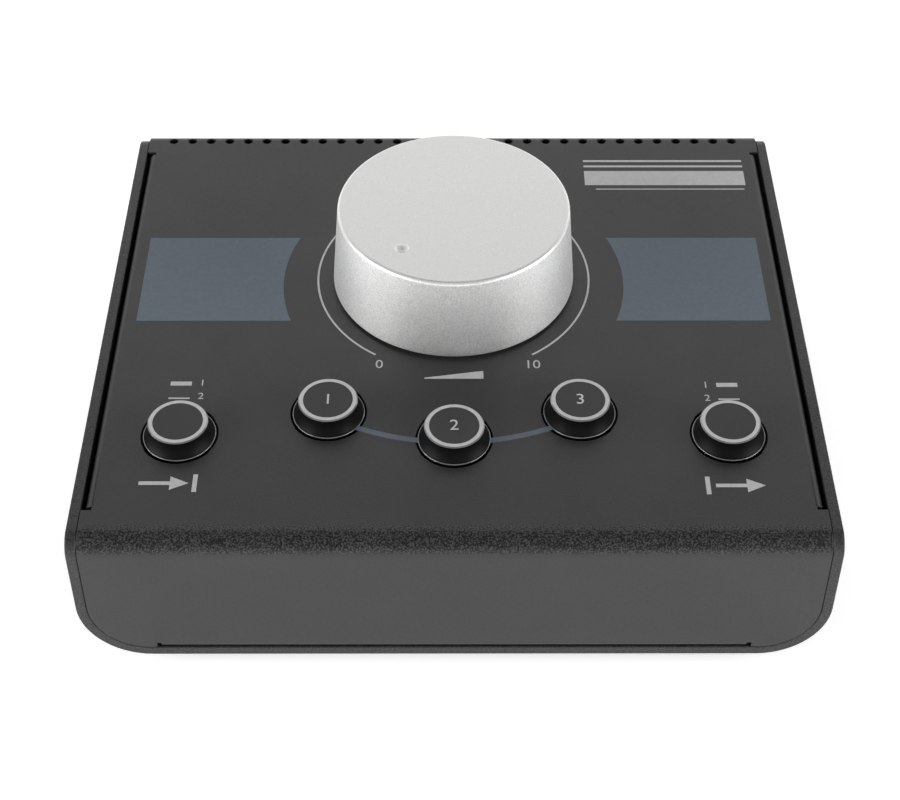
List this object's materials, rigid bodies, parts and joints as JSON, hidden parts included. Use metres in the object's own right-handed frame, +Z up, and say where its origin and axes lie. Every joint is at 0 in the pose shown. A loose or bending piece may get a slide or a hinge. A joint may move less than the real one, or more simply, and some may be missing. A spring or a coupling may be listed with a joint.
{
  "type": "studio monitor controller",
  "caption": "Wedge-shaped desktop monitor controller with one large volume knob, round push buttons in front of it and jack sockets in its rear panel.",
  "frame": {"origin": "middle of the whole part's footprint box, at the level of the feet's undersides", "axes": "+X to the right seen from the front, +Y to the rear, +Z up"},
  "size_m": [0.195, 0.1714, 0.08],
  "materials": {
    "shell_paint": "fine-textured dark grey powder coat",
    "panel_paint": "fine-textured dark grey powder coat",
    "knob_metal": "turned and bead-blasted, polished top edge",
    "cap_black": "moulded, glossy skirt",
    "black_plastic": "moulded",
    "ivory_plastic": "moulded",
    "board_green": "glass-fibre board with solder mask",
    "steel": "zinc plated",
    "nickel": "nickel plated",
    "black_steel": "black oxide",
    "rotor_brass": "stamped",
    "grey_ribbon": "extruded flat cable",
    "rubber": "moulded"
  },
  "bodies": {
    "housing": {"lower_shell": "shell_paint", "top_cover": "panel_paint", "rear_panel": "panel_paint", "rubber_feet": "rubber", "bottom_screws": "black_steel", "rear_screws": "black_steel", "clinch_nuts": "steel", "control_board": "board_green", "standoffs": "steel", "board_screws": "steel", "switch_bodies": "ivory_plastic", "switch_pins": "steel", "pot_bush": "steel", "pot_case": "black_plastic", "pot_pins": "steel", "pot_washer": "steel", "pot_nut": "steel", "control_header": "black_plastic", "jack_board": "board_green", "jack_bodies": "black_plastic", "jack_pins": "steel", "jack_washers": "steel", "jack_nuts": "nickel", "jack_header": "black_plastic", "ribbon_plugs": "black_plastic", "ribbon_cable": "grey_ribbon"},
    "volume_knob": {"volume_knob": "knob_metal", "knob_hub": "black_plastic", "pot_shaft": "steel", "pot_rotor": "rotor_brass"},
    "source_button": {"source_cap": "cap_black", "source_plunger": "ivory_plastic", "source_spring": "steel"},
    "mono_button": {"mono_cap": "cap_black", "mono_plunger": "ivory_plastic", "mono_spring": "steel"},
    "mute_button": {"mute_cap": "cap_black", "mute_plunger": "ivory_plastic", "mute_spring": "steel"},
    "dim_button": {"dim_cap": "cap_black", "dim_plunger": "ivory_plastic", "dim_spring": "steel"},
    "monitor_button": {"monitor_cap": "cap_black", "monitor_plunger": "ivory_plastic", "monitor_spring": "steel"}
  },
  "joints": [
    {"name": "volume_turn", "type": "hinge", "parent": "housing", "child": "volume_knob", "pos_m": [0, 0.01381, 0.05176], "axis": [0, 0.0698, -0.9976], "range_deg": [0, 282]},
    {"name": "source_press", "type": "slide", "parent": "housing", "child": "source_button", "axis": [0, 0.0698, -0.9976], "range_m": [0, 0.0025], "stiffness_N_per_m": 500, "springref_m": -0.003, "deforming": ["source_spring"]},
    {"name": "mono_press", "type": "slide", "parent": "housing", "child": "mono_button", "axis": [0, 0.0698, -0.9976], "range_m": [0, 0.0025], "stiffness_N_per_m": 500, "springref_m": -0.003, "deforming": ["mono_spring"]},
    {"name": "mute_press", "type": "slide", "parent": "housing", "child": "mute_button", "axis": [0, 0.0698, -0.9976], "range_m": [0, 0.0025], "stiffness_N_per_m": 500, "springref_m": -0.003, "deforming": ["mute_spring"]},
    {"name": "dim_press", "type": "slide", "parent": "housing", "child": "dim_button", "axis": [0, 0.0698, -0.9976], "range_m": [0, 0.0025], "stiffness_N_per_m": 500, "springref_m": -0.003, "deforming": ["dim_spring"]},
    {"name": "monitor_press", "type": "slide", "parent": "housing", "child": "monitor_button", "axis": [0, 0.0698, -0.9976], "range_m": [0, 0.0025], "stiffness_N_per_m": 500, "springref_m": -0.003, "deforming": ["monitor_spring"]}
  ]
}
